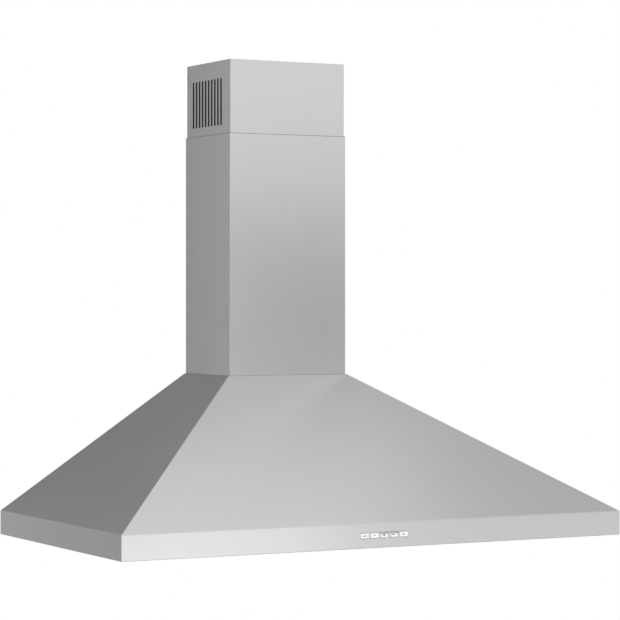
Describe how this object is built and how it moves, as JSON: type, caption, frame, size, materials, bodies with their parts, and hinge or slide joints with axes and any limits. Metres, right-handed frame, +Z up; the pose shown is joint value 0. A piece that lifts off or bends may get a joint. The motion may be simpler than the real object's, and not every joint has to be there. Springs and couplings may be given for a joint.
{
  "type": "chimney range hood",
  "caption": "Wall-mounted pyramid chimney range hood: canopy with baffle filters, lamps, push buttons and blower under a two-part telescoping chimney cover.",
  "frame": {"origin": "on the wall plane, at the middle of the canopy's bottom edge", "axes": "+X to the right of someone facing the hood, +Y into the wall, +Z up"},
  "size_m": [0.914, 0.5013, 0.802],
  "materials": {
    "stainless": "brushed",
    "galvanised": "spangled",
    "zinc": "plated",
    "button_white": "backlit",
    "lamp_glass": "frosted",
    "alloy": "die-cast",
    "black_plastic": "moulded",
    "white_plastic": "moulded",
    "rubber": "moulded",
    "motor_paint": "satin",
    "cable_sheath": "smooth"
  },
  "bodies": {
    "hood": {"canopy_shell": "stainless", "back_panel": "galvanised", "panel_rivets": "zinc", "top_plate": "galvanised", "liner_panel": "stainless", "liner_brackets": "galvanised", "lamp_bezel_left": "stainless", "lamp_bezel_right": "stainless", "lamp_lens_left": "lamp_glass", "lamp_lens_right": "lamp_glass", "lamp_module_left": "alloy", "lamp_module_right": "alloy", "switch_bracket": "galvanised", "switch_block": "black_plastic", "scroll_wrap": "galvanised", "scroll_side_left": "galvanised", "scroll_side_right": "galvanised", "inlet_ring": "galvanised", "motor_bracket": "galvanised", "motor_bushes": "rubber", "motor_body": "motor_paint", "capacitor": "black_plastic", "capacitor_clip": "galvanised", "duct_collar": "galvanised", "junction_box": "galvanised", "junction_cover": "galvanised", "led_driver": "white_plastic", "wiring_harness": "cable_sheath", "cable_clips": "white_plastic", "lower_chimney": "stainless", "panel_screws": "zinc", "blower_screws": "zinc"},
    "upper_cover": {"upper_chimney": "stainless", "chimney_bracket": "motor_paint", "chimney_screws": "zinc"},
    "wheel": {"impeller": "galvanised", "motor_shaft": "zinc"},
    "front_flap": {"damper_flap_front": "galvanised", "damper_pin_front": "zinc"},
    "rear_flap": {"damper_flap_rear": "galvanised", "damper_pin_rear": "zinc"},
    "lamp_push": {"lamp_button": "stainless", "lamp_button_face": "button_white"},
    "power_push": {"power_button": "stainless", "power_button_face": "button_white"},
    "low_speed_push": {"low_speed_button": "stainless", "low_speed_button_face": "button_white"},
    "middle_speed_push": {"middle_speed_button": "stainless", "middle_speed_button_face": "button_white"},
    "high_speed_push": {"high_speed_button": "stainless", "high_speed_button_face": "button_white"},
    "filter_left": {"filter_frame_left": "stainless", "filter_baffles_left": "stainless"},
    "latch_left": {"filter_latch_left": "zinc"},
    "filter_middle": {"filter_frame_middle": "stainless", "filter_baffles_middle": "stainless"},
    "latch_middle": {"filter_latch_middle": "zinc"},
    "filter_right": {"filter_frame_right": "stainless", "filter_baffles_right": "stainless"},
    "latch_right": {"filter_latch_right": "zinc"}
  },
  "joints": [
    {"name": "upper_cover_slide", "type": "slide", "parent": "hood", "child": "upper_cover", "axis": [0, 0, 1], "range_m": [-0.1, 0.22]},
    {"name": "wheel_spin", "type": "hinge", "parent": "hood", "child": "wheel", "pos_m": [0, -0.13325, 0.166], "axis": [1, 0, 0], "continuous": true},
    {"name": "front_flap_swing", "type": "hinge", "parent": "hood", "child": "front_flap", "pos_m": [0, -0.0905, 0.281], "axis": [1, 0, 0], "range_deg": [-80, 0]},
    {"name": "rear_flap_swing", "type": "hinge", "parent": "hood", "child": "rear_flap", "pos_m": [0, -0.0825, 0.281], "axis": [1, 0, 0], "range_deg": [0, 80]},
    {"name": "lamp_press", "type": "slide", "parent": "hood", "child": "lamp_push", "axis": [0, 1, 0], "range_m": [0, 0.003], "stiffness_N_per_m": 300, "springref_m": -0.002},
    {"name": "power_press", "type": "slide", "parent": "hood", "child": "power_push", "axis": [0, 1, 0], "range_m": [0, 0.003], "stiffness_N_per_m": 300, "springref_m": -0.002},
    {"name": "high_speed_press", "type": "slide", "parent": "hood", "child": "high_speed_push", "axis": [0, 1, 0], "range_m": [0, 0.003], "stiffness_N_per_m": 300, "springref_m": -0.002},
    {"name": "low_speed_press", "type": "slide", "parent": "hood", "child": "low_speed_push", "axis": [0, 1, 0], "range_m": [-0.003, 0]},
    {"name": "middle_speed_press", "type": "slide", "parent": "hood", "child": "middle_speed_push", "axis": [0, 1, 0], "range_m": [-0.003, 0]},
    {"name": "left_filter_swing", "type": "hinge", "parent": "hood", "child": "filter_left", "pos_m": [-0.279, -0.0975, 0.0105], "axis": [1, 0, 0], "range_deg": [0, 75]},
    {"name": "left_latch_pull", "type": "slide", "parent": "filter_left", "child": "latch_left", "axis": [0, 1, 0], "range_m": [0, 0.005], "stiffness_N_per_m": 400, "springref_m": -0.003},
    {"name": "middle_filter_swing", "type": "hinge", "parent": "hood", "child": "filter_middle", "pos_m": [0, -0.0975, 0.0105], "axis": [1, 0, 0], "range_deg": [0, 75]},
    {"name": "middle_latch_pull", "type": "slide", "parent": "filter_middle", "child": "latch_middle", "axis": [0, 1, 0], "range_m": [0, 0.005], "stiffness_N_per_m": 400, "springref_m": -0.003},
    {"name": "right_filter_swing", "type": "hinge", "parent": "hood", "child": "filter_right", "pos_m": [0.279, -0.0975, 0.0105], "axis": [1, 0, 0], "range_deg": [0, 75]},
    {"name": "right_latch_pull", "type": "slide", "parent": "filter_right", "child": "latch_right", "axis": [0, 1, 0], "range_m": [0, 0.005], "stiffness_N_per_m": 400, "springref_m": -0.003}
  ]
}
